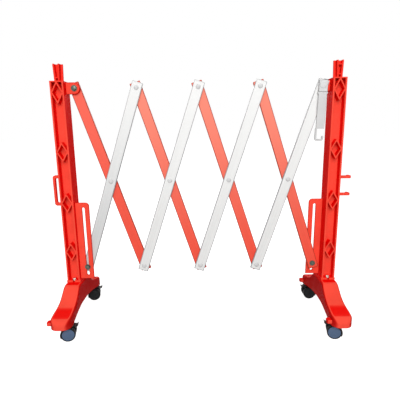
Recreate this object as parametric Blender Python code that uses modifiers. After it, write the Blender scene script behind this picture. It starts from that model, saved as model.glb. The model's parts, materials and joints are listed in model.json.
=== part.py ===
"""Expandable safety barrier: two wheeled posts joined by a four-cell scissor lattice.

X runs along the barrier, Y away from its front face, Z up. Lengths are metres.
"""

from math import atan2, cos, hypot, pi, radians, sin

import bmesh
import bpy
from mathutils import Matrix

# Heights of the whole
barrier_height = 1.000
spigot_height = 0.060
top_pivot_drop = 0.0845
post_bottom = 0.167
foot_underside = 0.0605

# Gaps and overruns
seat_gap = 0.0003
layer_gap = 0.0010
pivot_clearance = 0.0005
overrun = 0.004
weld_distance = 0.00001
curve_steps = 16
wheel_steps = 20
rivet_steps = 12
hex_sides = 6
sharp_angle = radians(32)

# Scissor lattice
cell_count = 4
cell_width = 0.2264
bottom_pivot_z = 0.2265
bar_width = 0.040
bar_thickness = 0.009
bar_end_reach = 0.021
pivot_radius = 0.0045
rivet_head_radius = 0.0088
rivet_head_thickness = 0.0030
rivet_crown_radius = 0.0056
washer_radius = 0.0112
washer_thickness = 0.0014
bolt_head_radius = 0.0090
bolt_head_height = 0.0052
nut_height = 0.0030
bolt_tip_length = 0.0040
bolt_tip_chamfer = 0.0008

# Posts
post_width = 0.050
post_depth = 0.060
post_flange = 0.0063
post_web = 0.006
post_to_pivot = 0.0312
top_plate = 0.0045
base_plate = 0.0085
base_flare = 0.0025
base_flare_height = 0.0107
diamond_place_shares = (0.6701, 0.4185, 0.1643)
diamond_half_height = 0.0372
top_diamond_half_height = 0.0408
diamond_rib = 0.0048
diamond_bite = 0.0033
rib_proud = 0.0005
spigot_base_width = 0.033
spigot_top_width = 0.038
spigot_depth = 0.038
spigot_web = 0.006
spigot_rib = 0.0055
spigot_rib_top_offset = 0.0095
spigot_rib_base_offset = 0.0060
spigot_low_bridge = 0.012
spigot_high_bridge = 0.045
spigot_bridge_height = 0.004

# Brackets and slot plates
bracket_height = 0.042
slot_plate_thickness = 0.006
slot_plate_gap = 0.0005
slot_plate_reach = 0.0225
slot_plate_bottom = 0.178
slot_plate_top = 0.490
slot_plate_corner = 0.014
slot_bottom = 0.192
slot_top = 0.471

# Coupling loop and hooks
loop_reach = 0.031
loop_bottom = 0.477
loop_top = 0.596
loop_bar = 0.0095
loop_arm = 0.0115
loop_thickness = 0.014
loop_corner = 0.010
hook_reach = 0.046
hook_heights = (0.5777, 0.5110)
hook_height = 0.0112
hook_arm = 0.010
hook_front = 0.012
hook_tip_width = 0.011
hook_tip_length = 0.026
hook_corner = 0.004

# Latch
latch_width = 0.031
latch_head_width = 0.032
latch_head_top = 0.0175
latch_head_drop = 0.0245
latch_head_corner = 0.003
latch_shoulder_width = 0.0365
latch_shoulder_height = 0.006
latch_hook_width = 0.0355
latch_thickness = 0.005
latch_boss_radius = 0.0135
latch_boss_height = 0.0030
latch_length = 0.2000
latch_hook_height = 0.0447
latch_rest_swing = radians(1.6)
latch_hook_bar = 0.0070
latch_tip_height = 0.016
latch_hook_reach = 0.0145

# Feet
foot_length = 0.410
foot_hub_width = 0.062
foot_toe_width = 0.075
foot_hub_half_length = 0.045
hub_shoulder = 0.012
hub_shoulder_drop = 0.005
slope_shares = ((0.16, 0.28), (0.30, 0.51), (0.47, 0.71), (0.70, 0.87))
toe_length = 0.047
toe_top = 0.1035
nose_length = 0.024
nose_top = 0.098
nose_shares = ((0.38, 0.10), (0.74, 0.32), (0.95, 0.62))
nose_undercut = 0.002
nose_lip_height = 0.009
toe_corner = 0.030
arch_margin = 0.037
arch_height = 0.0845
stem_boss_radius = 0.0115
stem_boss_height = 0.015
lug_reach = 0.015
lug_length = 0.021
lug_inset = 0.030
lug_top = 0.081
lug_bottom = 0.067
lug_round = 0.006

# Fixing bolts in the post's bottom plate
fixing_offset = 0.021
fixing_radius = 0.003
fixing_washer_radius = 0.0078
fixing_washer_thickness = 0.0015
fixing_head_radius = 0.0068
fixing_head_height = 0.0060
fixing_depth = 0.040
fixing_notch = 0.0072

# Casters
caster_inset = 0.046
caster_turns = {"left_front": 13, "left_rear": 15, "right_front": -13, "right_rear": 0}
wheel_radius = 0.026
wheel_width = 0.017
wheel_inner_face = 0.0065
caster_trail = 0.016
tread_depth = 0.0045
tread_round = 0.0014
hub_recess = 0.0012
hub_groove = 0.0012
hub_dome = 0.0008
axle_radius = 0.0025
axle_clearance = 0.0003
axle_half_length = 0.0172
axle_bore_depth = 0.0112
hood_thickness = 0.0022
hood_clearance = 0.0006
hood_width = 0.0465
hood_trailing_angle = radians(54)
hood_leading_angle = radians(205)
hood_web_radius = 0.013
hood_web_half = 0.0062
stem_radius = 0.004
stem_bottom = 0.0365
stem_top = 0.0835
stem_collar_radius = 0.008
socket_radius = 0.0085
socket_top = 0.0550
pedal_pivot_x = 0.0160
pedal_pivot_z = 0.0276
pedal_barrel_radius = 0.0024
pedal_pin_radius = 0.0013
pedal_half_width = 0.0128
pedal_ear = 0.0032
pedal_ear_radius = 0.0030
pedal_ear_root_share = 0.86
pedal_lip_thickness = 0.0022
pedal_lip_length = 0.0140
pedal_lip_drop = 0.0030
pedal_tip_reach = 0.0200
pedal_tip_rise = 0.0034

# Places that follow from the sizes
post_top = barrier_height - spigot_height
top_pivot_z = barrier_height - top_pivot_drop
lattice_drop = top_pivot_z - bottom_pivot_z
pivot_span = hypot(cell_width, lattice_drop)
bar_lean = atan2(cell_width, lattice_drop)
lattice_half = cell_count * cell_width / 2
centre_x = (loop_reach - hook_reach) / 2
post_offset = lattice_half + post_to_pivot + post_width / 2
left_x = centre_x - post_offset
right_x = centre_x + post_offset
pivot_from_post = post_width / 2 + post_to_pivot
layer_offset = (bar_thickness + layer_gap) / 2
lattice_face = layer_offset + bar_thickness / 2
bore_radius = pivot_radius + pivot_clearance
slot_plate_face = lattice_face + slot_plate_gap
post_recess = (post_depth - post_web) / 2
wheel_centre_y = foot_length / 2 - caster_inset
toe_start = foot_length / 2 - toe_length


def clear_scene():
    for old in list(bpy.data.objects):
        bpy.data.objects.remove(old, do_unlink=True)


def new_collection(name):
    collection = bpy.data.collections.new(name)
    bpy.context.scene.collection.children.link(collection)
    return collection


def plain_material(name, colour, roughness, metallic):
    material = bpy.data.materials.new(name)
    material.use_nodes = True
    shader = material.node_tree.nodes["Principled BSDF"]
    shader.inputs["Base Color"].default_value = (*colour, 1)
    shader.inputs["Roughness"].default_value = roughness
    shader.inputs["Metallic"].default_value = metallic
    return material


clear_scene()
barrier = new_collection("expandable_barrier")
cutters = new_collection("cutters")

satin = 0.45
red_plastic = ((0.80, 0.035, 0.02), satin, 0.0)
white_plastic = ((0.83, 0.83, 0.81), satin, 0.0)
black_plastic = ((0.012, 0.012, 0.013), satin, 0.0)
zinc_steel = ((0.45, 0.48, 0.43), satin, 0.9)


def add_object(name, mesh, collection=cutters):
    made = bpy.data.objects.new(name, mesh)
    collection.objects.link(made)
    if collection is cutters:
        made.hide_render = True
        made.display_type = "WIRE"
    return made


def evaluated_mesh(source):
    """The source's mesh with its modifiers applied; the source itself is removed."""
    bpy.context.view_layer.update()
    depsgraph = bpy.context.evaluated_depsgraph_get()
    mesh = bpy.data.meshes.new_from_object(source.evaluated_get(depsgraph))
    bpy.data.objects.remove(source, do_unlink=True)
    return mesh


def cleaned(mesh):
    shape = bmesh.new()
    shape.from_mesh(mesh)
    bmesh.ops.remove_doubles(shape, verts=shape.verts, dist=weld_distance)
    shape.to_mesh(mesh)
    shape.free()
    return mesh


def circle(centre, radius, steps=curve_steps, start=0.0, end=2 * pi):
    """Points on a circle, or on an arc with both of its ends when it isn't a full turn."""
    full_turn = end - start >= 2 * pi
    count = steps if full_turn else steps + 1
    turns = [start + (end - start) * step / steps for step in range(count)]
    return [(centre[0] + radius * cos(turn), centre[1] + radius * sin(turn)) for turn in turns]


def stadium(low, high, radius):
    """A slot outline between two end centres on one vertical line."""
    half = curve_steps // 2
    return circle(high, radius, half, 0, pi) + circle(low, radius, half, pi, 2 * pi)


def prism(outlines, thickness, view="front", offset=0.0):
    """A flat shape of the given thickness: the first outline is its edge, the others are holes.

    A front view outline is (x, z) and its offset is towards -Y, a side view outline is (y, z) with
    its offset towards +X, and a plan outline is (x, y) with its offset upwards.
    """
    curve = bpy.data.curves.new("outline", "CURVE")
    curve.dimensions = "2D"
    curve.fill_mode = "BOTH"
    curve.extrude = thickness / 2
    for outline in outlines:
        spline = curve.splines.new("POLY")
        spline.points.add(len(outline) - 1)
        for point, (across, up) in zip(spline.points, outline):
            point.co = (across, up, 0, 1)
        spline.use_cyclic_u = True
    mesh = cleaned(evaluated_mesh(add_object("outline", curve)))
    mesh.transform(Matrix.Translation((0, 0, offset)))
    if view == "front":
        mesh.transform(Matrix.Rotation(pi / 2, 4, "X"))
    if view == "side":
        mesh.transform(Matrix(((0, 0, 1, 0), (1, 0, 0, 0), (0, 1, 0, 0), (0, 0, 0, 1))))
    return mesh


def block(size, centre):
    shape = bmesh.new()
    bmesh.ops.create_cube(shape, size=1)
    bmesh.ops.scale(shape, vec=size, verts=shape.verts)
    bmesh.ops.translate(shape, vec=centre, verts=shape.verts)
    mesh = bpy.data.meshes.new("block")
    shape.to_mesh(mesh)
    shape.free()
    return mesh


def rod(radius, start, end, centre=(0, 0), axis="Z", steps=curve_steps):
    """A round bar between two places on its axis."""
    shape = bmesh.new()
    bmesh.ops.create_cone(
        shape, cap_ends=True, segments=steps, radius1=radius, radius2=radius, depth=end - start
    )
    mesh = bpy.data.meshes.new("rod")
    shape.to_mesh(mesh)
    shape.free()
    mesh.transform(Matrix.Translation((0, 0, (start + end) / 2)))
    if axis == "Z":
        mesh.transform(Matrix.Translation((*centre, 0)))
    else:
        mesh.transform(Matrix.Rotation(-pi / 2, 4, "X"))
        mesh.transform(Matrix.Translation((centre[0], 0, centre[1])))
    return mesh


def turned(profile, axis="Z", steps=curve_steps):
    """A solid of revolution; the profile (radius, height) runs down its outer side."""
    mesh = bpy.data.meshes.new("profile")
    edges = [(index, index + 1) for index in range(len(profile) - 1)]
    mesh.from_pydata([(radius, 0, height) for radius, height in profile], edges, [])
    source = add_object("profile", mesh)
    screw = source.modifiers.new("turn", "SCREW")
    screw.steps = steps
    screw.render_steps = steps
    screw.use_merge_vertices = True
    screw.merge_threshold = weld_distance
    solid = cleaned(evaluated_mesh(source))
    if axis == "Y":
        solid.transform(Matrix.Rotation(-pi / 2, 4, "X"))
    return solid


def moved(mesh, x=0.0, y=0.0, z=0.0):
    mesh.transform(Matrix.Translation((x, y, z)))
    return mesh


def half_turned(mesh):
    mesh.transform(Matrix.Rotation(pi, 4, "Z"))
    return mesh


def combined(first, others, operation):
    """Apply one Boolean after another and give back the finished mesh."""
    base = add_object("base", first)
    for other in others:
        tool = add_object("tool", other)
        change = base.modifiers.new("change", "BOOLEAN")
        change.operation = operation
        change.solver = "EXACT"
        change.object = tool
    tools = [change.object for change in base.modifiers]
    mesh = evaluated_mesh(base)
    for tool in tools:
        bpy.data.objects.remove(tool, do_unlink=True)
    return cleaned(mesh)


def hexagon(radius, start, end, axis="Z"):
    """A six-sided prism between two places on its axis."""
    return rod(radius, start, end, axis=axis, steps=hex_sides)


def add_axis(name, x, y, z):
    axis = bpy.data.objects.new(name, None)
    axis.location = (x, y, z)
    axis.empty_display_size = wheel_radius
    barrier.objects.link(axis)
    return axis


def add_part(name, mesh, look, place=(0, 0, 0), turn=(0, 0, 0), parent=None):
    made = add_object(name, mesh.copy(), barrier)
    made.data.name = name
    made.data.materials.clear()
    made.data.materials.append(plain_material(name, *look))
    made.location = place
    made.rotation_euler = turn
    made.data.shade_smooth()
    made.data.set_sharp_from_angle(angle=sharp_angle)
    if parent:
        made.parent = parent
        made.matrix_parent_inverse = Matrix.Translation(parent.location).inverted()
    return made


def diamond(centre_z, half_height, inset):
    """A diamond across the post's recess, drawn in by the inset."""
    half_width = post_width / 2 - post_flange + diamond_bite
    lean = atan2(half_width, half_height)
    across = half_width - inset / cos(lean)
    up = half_height - inset / sin(lean)
    return [(across, centre_z), (0, centre_z + up), (-across, centre_z), (0, centre_z - up)]


def post_mesh():
    """H-section with end plates, a flared base, diamond ribs and notches for the fixing bolts."""
    half = post_width / 2
    low = post_bottom + base_plate
    high = post_top - top_plate
    body = block((post_width, post_depth, post_top - post_bottom), (0, 0, (post_top + post_bottom) / 2))
    flare = [
        (half, post_bottom + base_flare_height),
        (-half, post_bottom + base_flare_height),
        (-half - base_flare, low),
        (-half - base_flare, post_bottom),
        (half + base_flare, post_bottom),
        (half + base_flare, low),
    ]
    shell = combined(body, [prism([flare], post_depth)], "UNION")
    recess = (post_width - 2 * post_flange, post_recess + overrun, high - low)
    recess_y = (post_web + recess[1]) / 2
    pockets = [block(recess, (0, side * recess_y, (low + high) / 2)) for side in (-1, 1)]
    shell = combined(shell, pockets, "DIFFERENCE")
    ribs = []
    places = [(post_top - top_diamond_half_height, top_diamond_half_height)]
    for share in diamond_place_shares:
        places.append((post_bottom + share * (post_top - post_bottom), diamond_half_height))
    for centre_z, half_height in places:
        outlines = [diamond(centre_z, half_height, 0), diamond(centre_z, half_height, diamond_rib)]
        ribs.append(prism(outlines, post_depth + 2 * rib_proud))
    shell = combined(shell, ribs, "UNION")
    notches = []
    notch_length = post_depth / 2 - fixing_offset + overrun
    for side in (-1, 1):
        notch_place = (0, side * (fixing_offset + notch_length / 2), post_bottom + base_plate / 2)
        notches.append(block((fixing_notch, notch_length, base_plate + 2 * overrun), notch_place))
        bore_place = (0, side * fixing_offset)
        notches.append(rod(fixing_notch / 2, post_bottom - overrun, low + overrun, bore_place))
    return combined(shell, notches, "DIFFERENCE")


def spigot_meshes():
    """The ribbed spigot on the post's top, as solids to unite with it."""
    root = post_top - overrun
    base = spigot_base_width / 2
    top = spigot_top_width / 2
    web = [(base, root), (top, barrier_height), (-top, barrier_height), (-base, root)]
    solids = [prism([web], spigot_web)]
    half_rib = spigot_rib / 2
    for side in (-1, 1):
        low_x = side * spigot_rib_base_offset
        high_x = side * spigot_rib_top_offset
        rib = [
            (low_x + half_rib, root),
            (high_x + half_rib, barrier_height),
            (high_x - half_rib, barrier_height),
            (low_x - half_rib, root),
        ]
        solids.append(prism([rib], spigot_depth))
    low_z = post_top + spigot_low_bridge
    high_z = post_top + spigot_high_bridge
    low_bridge = (2 * spigot_rib_base_offset, spigot_depth - rib_proud, spigot_bridge_height)
    high_bridge = (2 * spigot_rib_top_offset, (spigot_depth - rib_proud) / 2, spigot_bridge_height)
    solids.append(block(low_bridge, (0, 0, low_z)))
    solids.append(block(high_bridge, (0, high_bridge[1] / 2, high_z)))
    return solids


def top_bracket_mesh():
    """A strap from the post's inner face to a round end about the fixed pivot."""
    root = post_width / 2 + seat_gap
    low = top_pivot_z - bracket_height / 2
    high = top_pivot_z + bracket_height / 2
    centre = (pivot_from_post, top_pivot_z)
    rounded = circle(centre, bracket_height / 2, curve_steps, -pi / 2, pi / 2)
    edge = [(root, low), *rounded, (root, high)]
    return prism([edge, circle(centre, bore_radius)], bar_thickness, offset=layer_offset)


def slot_plate_mesh():
    root = post_width / 2 + seat_gap
    reach = pivot_from_post + slot_plate_reach
    corner = (reach - slot_plate_corner, slot_plate_top - slot_plate_corner)
    rounded = circle(corner, slot_plate_corner, curve_steps // 2, 0, pi / 2)
    edge = [(root, slot_plate_bottom), (reach, slot_plate_bottom), *rounded, (root, slot_plate_top)]
    slot = stadium(
        (pivot_from_post, slot_bottom + bore_radius), (pivot_from_post, slot_top - bore_radius), bore_radius
    )
    return prism([edge, slot], slot_plate_thickness, offset=slot_plate_face + slot_plate_thickness / 2)


def loop_mesh():
    """A C-shaped loop on the post's outer face, closed by the post itself."""
    root = -post_width / 2 + overrun
    tip = -post_width / 2 - loop_reach
    quarter = curve_steps // 2
    inner = loop_corner / 2
    outer_low = circle((tip + loop_corner, loop_bottom + loop_corner), loop_corner, quarter, pi, 3 * pi / 2)
    outer_high = circle((tip + loop_corner, loop_top - loop_corner), loop_corner, quarter, pi / 2, pi)
    side = tip + loop_bar
    low = loop_bottom + loop_arm
    high = loop_top - loop_arm
    inner_low = circle((side + inner, low + inner), inner, quarter, pi, 3 * pi / 2)
    inner_high = circle((side + inner, high - inner), inner, quarter, pi / 2, pi)
    edge = [(root, loop_top), *outer_high, *outer_low, (root, loop_bottom), (root, low)]
    edge += [*reversed(inner_low), *reversed(inner_high), (root, high)]
    return prism([edge], loop_thickness)


def hook_meshes():
    """Two level hooks on the post's outer face whose tips turn back behind the barrier."""
    root = post_width / 2 - overrun
    tip = post_width / 2 + hook_reach
    front = -hook_front
    back = front + hook_arm
    end = front + hook_tip_length
    quarter = curve_steps // 4
    nose = circle((tip - hook_corner, front + hook_corner), hook_corner, quarter, -pi / 2, 0)
    heel = circle((tip - hook_corner, end - hook_corner), hook_corner, quarter, 0, pi / 2)
    inner_tip = tip - hook_tip_width
    edge = [(root, front), *nose, *heel, (inner_tip, end), (inner_tip, back), (root, back)]
    return [prism([edge], hook_height, "plan", height) for height in hook_heights]


def bar_mesh(top_reach):
    """A slat with three pivot holes; the origin lies top_reach below its top hole."""
    high = top_reach + bar_end_reach
    low = top_reach - pivot_span - bar_end_reach
    half = bar_width / 2
    edge = [(half, low), (half, high), (-half, high), (-half, low)]
    holes = [circle((0, top_reach - share * pivot_span), bore_radius) for share in (0, 1 / 2, 1)]
    return prism([edge, *holes], bar_thickness)


def rivet_mesh():
    """A pivot through both layers, with a low head on each face."""
    face = lattice_face + seat_gap
    crown = face + rivet_head_thickness
    rim = face + rivet_head_thickness / 2
    half_profile = [
        (0, crown),
        (rivet_crown_radius, crown),
        (rivet_head_radius, rim),
        (rivet_head_radius, face),
        (pivot_radius, face),
    ]
    mirrored = [(radius, -height) for radius, height in reversed(half_profile)]
    return turned(half_profile + mirrored, "Y", rivet_steps)


def end_bolt_mesh(front_face, back_face):
    """A hexagon bolt with its nut run home: head before the front face, nut behind the back face."""
    head = front_face - seat_gap
    nut = back_face + seat_gap
    tip = nut + washer_thickness + nut_height + bolt_tip_length
    profile = [
        (0, tip),
        (pivot_radius - bolt_tip_chamfer, tip),
        (pivot_radius, tip - bolt_tip_chamfer),
        (pivot_radius, nut + washer_thickness),
        (washer_radius, nut + washer_thickness),
        (washer_radius, nut),
        (pivot_radius, nut),
        (pivot_radius, head),
        (washer_radius, head),
        (washer_radius, head - washer_thickness),
        (0, head - washer_thickness),
    ]
    nut_end = nut + washer_thickness + nut_height
    head_end = head - washer_thickness - bolt_head_height
    nut_body = hexagon(bolt_head_radius, nut + washer_thickness / 2, nut_end, "Y")
    head_body = hexagon(bolt_head_radius, head_end, head - washer_thickness / 2, "Y")
    return combined(turned(profile, "Y"), [nut_body, head_body], "UNION")


def latch_mesh():
    """A hanging strap with a covered pivot and a hook at its lower end."""
    half = latch_width / 2
    head = latch_head_width / 2
    ear = latch_shoulder_width / 2
    side = latch_hook_width / 2
    round_x = head - latch_head_corner
    round_z = latch_head_top - latch_head_corner
    quarter = curve_steps // 4
    crown = circle((round_x, round_z), latch_head_corner, quarter, 0, pi / 2)
    crown += circle((-round_x, round_z), latch_head_corner, quarter, pi / 2, pi)
    shoulder = -latch_head_drop
    ear_low = shoulder - latch_shoulder_height
    neck = ear_low - (ear - half)
    bar = latch_hook_bar
    foot = -latch_length
    knee = latch_hook_height - latch_length
    inner = bar - side
    reach = latch_hook_reach
    corner = bar
    heel = circle((corner - side, foot + corner), corner, quarter, pi, 3 * pi / 2)
    toe = circle((reach - corner, foot + corner), corner, quarter, -pi / 2, 0)
    tip = foot + latch_tip_height
    left = [(-head, shoulder), (-ear, shoulder), (-ear, ear_low), (-half, neck), (-half, knee + bar / 2)]
    hook = [(reach, tip), (reach - bar / 2, tip + bar / 2), (reach - bar, tip), (reach - bar, foot + bar)]
    right = [(half, knee), (half, neck), (ear, ear_low), (ear, shoulder), (head, shoulder)]
    edge = [*crown, *left, (-side, knee - bar / 2), *heel, *toe, *hook, (inner, foot + bar), (inner, knee), *right]
    back = lattice_face + seat_gap + washer_thickness + nut_height + seat_gap
    strap = prism([edge], latch_thickness, offset=back + latch_thickness / 2)
    front = back + latch_thickness
    boss = rod(latch_boss_radius, -front - latch_boss_height, -back - latch_thickness / 2, axis="Y")
    bore = rod(bore_radius, -back - bolt_tip_length - seat_gap, -back + overrun, axis="Y")
    return combined(combined(strap, [boss], "UNION"), [bore], "DIFFERENCE")


def foot_side_outline():
    """The foot from the side: a level seat, hollow sloping legs, round noses and a low arch."""
    end = foot_length / 2
    seat = post_bottom - seat_gap
    slope_start = foot_hub_half_length + hub_shoulder
    slope_top = seat - hub_shoulder_drop
    slope_run = toe_start - slope_start
    slope_drop = slope_top - toe_top
    half = [(0, seat), (foot_hub_half_length, seat), (slope_start, slope_top)]
    half += [(slope_start + run * slope_run, slope_top - drop * slope_drop) for run, drop in slope_shares]
    half += [(toe_start, toe_top), (end - nose_length, nose_top)]
    lip = foot_underside + nose_lip_height
    for out, down in nose_shares:
        half.append((end - nose_length * (1 - out), nose_top - down * (nose_top - lip)))
    half += [(end, lip), (end - nose_undercut, foot_underside)]
    arch_start = end - arch_margin
    arch_steps = curve_steps // 2
    arch = []
    for step in range(arch_steps + 1):
        share = 1 - step / arch_steps
        arch.append((arch_start * share, arch_height - (arch_height - foot_underside) * share ** 2))
    outline = half + arch
    mirrored = [(-y, z) for y, z in reversed(outline[1:-1])]
    return outline + mirrored


def foot_plan_outline():
    """The foot from above: a narrow hub that widens to round-cornered toes."""
    end = foot_length / 2
    hub = foot_hub_width / 2
    toe = foot_toe_width / 2
    quarter = curve_steps // 4
    corner = circle((toe - toe_corner, end - toe_corner), toe_corner, quarter, 0, pi / 2)
    one_side = [(hub, foot_hub_half_length), (toe, toe_start), *corner]
    back = one_side + [(-x, y) for x, y in reversed(one_side)]
    return back + [(-x, -y) for x, y in back]


def lug_outline():
    """A side lug from above, round at its outer corners."""
    root = -foot_toe_width / 2 + overrun
    tip = -foot_toe_width / 2 - lug_reach
    half = lug_length / 2
    quarter = curve_steps // 5
    near = circle((tip + lug_round, -half + lug_round), lug_round, quarter, pi, 3 * pi / 2)
    far = circle((tip + lug_round, half - lug_round), lug_round, quarter, pi / 2, pi)
    return [(root, half), *far, *near, (root, -half)]


def foot_mesh():
    side = prism([foot_side_outline()], foot_toe_width + 2 * overrun, "side")
    plan = prism([foot_plan_outline()], 2 * post_bottom, "plan", foot_underside)
    body = combined(side, [plan], "INTERSECT")
    lugs = []
    for direction in (-1, 1):
        lug = prism([lug_outline()], lug_top - lug_bottom, "plan", (lug_top + lug_bottom) / 2)
        lugs.append(moved(lug, y=direction * (foot_length / 2 - lug_inset)))
        boss_place = (0, direction * wheel_centre_y)
        boss_top = foot_underside + stem_boss_height
        lugs.append(rod(stem_boss_radius, foot_underside, boss_top, boss_place))
    body = combined(body, lugs, "UNION")
    bores = []
    for direction in (-1, 1):
        stem_bore = stem_radius + seat_gap
        stem_place = (0, direction * wheel_centre_y)
        bores.append(rod(stem_bore, foot_underside - overrun, stem_top + seat_gap, stem_place))
        fixing_bore = fixing_radius + seat_gap
        fixing_place = (0, direction * fixing_offset)
        bores.append(rod(fixing_bore, post_bottom - fixing_depth, post_bottom + overrun, fixing_place))
    return combined(body, bores, "DIFFERENCE")


def fixing_bolt_mesh():
    """An upright hexagon bolt, its washer on the bottom plate inside the post's recess."""
    seat = post_bottom + base_plate + seat_gap
    washer_top = seat + fixing_washer_thickness
    end = post_bottom - fixing_depth + seat_gap
    profile = [
        (0, washer_top),
        (fixing_washer_radius, washer_top),
        (fixing_washer_radius, seat),
        (fixing_radius, seat),
        (fixing_radius, end),
        (0, end),
    ]
    head_top = washer_top + fixing_head_height
    head = hexagon(fixing_head_radius, seat + fixing_washer_thickness / 2, head_top)
    return combined(turned(profile), [head], "UNION")


def stem_mesh():
    """A caster stem with a collar between the caster's socket and the foot."""
    collar_top = foot_underside - seat_gap
    collar_bottom = socket_top + seat_gap
    profile = [
        (0, stem_top),
        (stem_radius, stem_top),
        (stem_radius, collar_top),
        (stem_collar_radius, collar_top),
        (stem_collar_radius, collar_bottom),
        (stem_radius, collar_bottom),
        (stem_radius, stem_bottom),
        (0, stem_bottom),
    ]
    return turned(profile)


def caster_body_mesh():
    """Hood, middle web and stem socket; the origin is on the axle."""
    outer = wheel_radius + hood_clearance + hood_thickness
    arc = circle((0, 0), outer, curve_steps, hood_trailing_angle, hood_leading_angle)
    web_end = circle((0, 0), hood_web_radius, curve_steps // 2, hood_leading_angle, 2 * pi)
    hood = prism([[*arc, *web_end]], hood_width)
    socket = rod(socket_radius, 0, socket_top - wheel_radius, (-caster_trail, 0))
    ears = []
    pivot = (pedal_pivot_x, pedal_pivot_z)
    for side in (-1, 1):
        ear_y = side * (pedal_half_width + seat_gap + pedal_ear / 2)
        lean = atan2(pedal_pivot_z, pedal_pivot_x)
        tip = circle(pivot, pedal_ear_radius, curve_steps // 2, lean - pi / 2, lean + pi / 2)
        foot = [(pedal_ear_root_share * x, pedal_ear_root_share * z) for x, z in (tip[-1], tip[0])]
        ears.append(prism([[*tip, *foot]], pedal_ear, offset=ear_y))
    solid = combined(hood, [socket, *ears], "UNION")
    clearance = wheel_radius + hood_clearance
    side_reach = hood_width / 2 + overrun
    cuts = [
        rod(clearance, hood_web_half, side_reach, axis="Y", steps=2 * curve_steps),
        rod(clearance, -side_reach, -hood_web_half, axis="Y", steps=2 * curve_steps),
        rod(axle_radius + axle_clearance, -hood_width, hood_width, axis="Y"),
        rod(
            stem_radius + seat_gap,
            stem_bottom - seat_gap - wheel_radius,
            socket_top,
            (-caster_trail, 0),
        ),
        rod(pedal_pin_radius + seat_gap, -hood_width, hood_width, pivot, "Y", curve_steps // 2),
    ]
    return combined(solid, cuts, "DIFFERENCE")


def wheel_mesh():
    """One wheel with a blind axle bore on its inner face and a domed hub disc on its outer face."""
    inner = wheel_inner_face
    outer = wheel_inner_face + wheel_width
    rim = wheel_radius - tread_depth
    disc = rim - hub_groove
    bore = axle_radius + axle_clearance
    profile = [
        (0, outer + hub_dome),
        (disc, outer - hub_recess / 2),
        (disc, outer - hub_recess),
        (rim, outer - hub_recess),
        (rim, outer),
        (wheel_radius - tread_round, outer),
        (wheel_radius, outer - tread_round),
        (wheel_radius, inner),
        (bore, inner),
        (bore, inner + axle_bore_depth),
        (0, inner + axle_bore_depth),
    ]
    return turned(profile, "Y", wheel_steps)


def pedal_mesh():
    """A brake pedal: a barrel with two end pins, and a lip that curls up at its tip."""
    pin_end = pedal_half_width + pedal_ear
    profile = [
        (0, pin_end),
        (pedal_pin_radius, pin_end),
        (pedal_pin_radius, pedal_half_width),
        (pedal_barrel_radius, pedal_half_width),
        (pedal_barrel_radius, -pedal_half_width),
        (pedal_pin_radius, -pedal_half_width),
        (pedal_pin_radius, -pin_end),
        (0, -pin_end),
    ]
    barrel = turned(profile, "Y", curve_steps // 2)
    half = pedal_lip_thickness / 2
    lip = [
        (0, -half),
        (pedal_lip_length, -pedal_lip_drop - half),
        (pedal_tip_reach, pedal_tip_rise - pedal_lip_thickness),
        (pedal_tip_reach, pedal_tip_rise),
        (pedal_lip_length, half - pedal_lip_drop),
        (0, half),
    ]
    return combined(barrel, [prism([lip], 2 * pedal_half_width)], "UNION")


def build_side(name, x, inward, post):
    """The post assembly; inward is +1 on the left and -1, half a turn round, on the right."""
    turn = (0, 0, 0 if inward > 0 else pi)
    axis = add_axis(f"{name}_post_axis", x + inward * pivot_from_post, 0, top_pivot_z)
    add_part(f"{name}_post", post, red_plastic, (x, 0, 0), parent=axis)
    add_part(f"{name}_foot", foot_mesh(), red_plastic, (x, 0, 0), parent=axis)
    add_part(f"{name}_top_bracket", top_bracket_mesh(), red_plastic, (x, 0, 0), turn, axis)
    add_part(f"{name}_slot_plate", slot_plate_mesh(), red_plastic, (x, 0, 0), turn, axis)
    for end, direction in (("front", -1), ("rear", 1)):
        bolt_place = (x, direction * fixing_offset, 0)
        add_part(f"{name}_{end}_foot_bolt", fixing_bolt_mesh(), zinc_steel, bolt_place, parent=axis)
        stem_place = (x, direction * wheel_centre_y, 0)
        add_part(f"{name}_{end}_caster_stem", stem_mesh(), zinc_steel, stem_place, parent=axis)
        build_caster(f"{name}_{end}", x, direction * wheel_centre_y, inward)


def build_caster(name, x, y, inward):
    """A swivelling twin-wheel caster whose axle lies inward of its stem, as it came to rest."""
    swivelled = radians(caster_turns[name])
    heading = swivelled if inward > 0 else swivelled + pi
    turn = (0, 0, heading)
    swivel = add_axis(f"{name}_swivel_axis", x, y, 0)
    centre = (x + caster_trail * cos(heading), y + caster_trail * sin(heading), wheel_radius)
    axle = rod(axle_radius, -axle_half_length, axle_half_length, axis="Y", steps=curve_steps // 2)
    add_part(f"{name}_caster_hood", caster_body_mesh(), black_plastic, centre, turn, swivel)
    add_part(f"{name}_caster_axle", axle, zinc_steel, centre, turn, swivel)
    reach = caster_trail + pedal_pivot_x
    pivot = (x + reach * cos(heading), y + reach * sin(heading), wheel_radius + pedal_pivot_z)
    add_part(f"{name}_brake_pedal", pedal_mesh(), black_plastic, pivot, turn, swivel)
    for side, half_turn in (("outer", 0 if y > 0 else pi), ("inner", pi if y > 0 else 0)):
        place = f"{name}_{side}_wheel"
        wheel_turn = (0, 0, swivelled + half_turn)
        add_part(place, wheel_mesh(), black_plastic, centre, wheel_turn, swivel)


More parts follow.
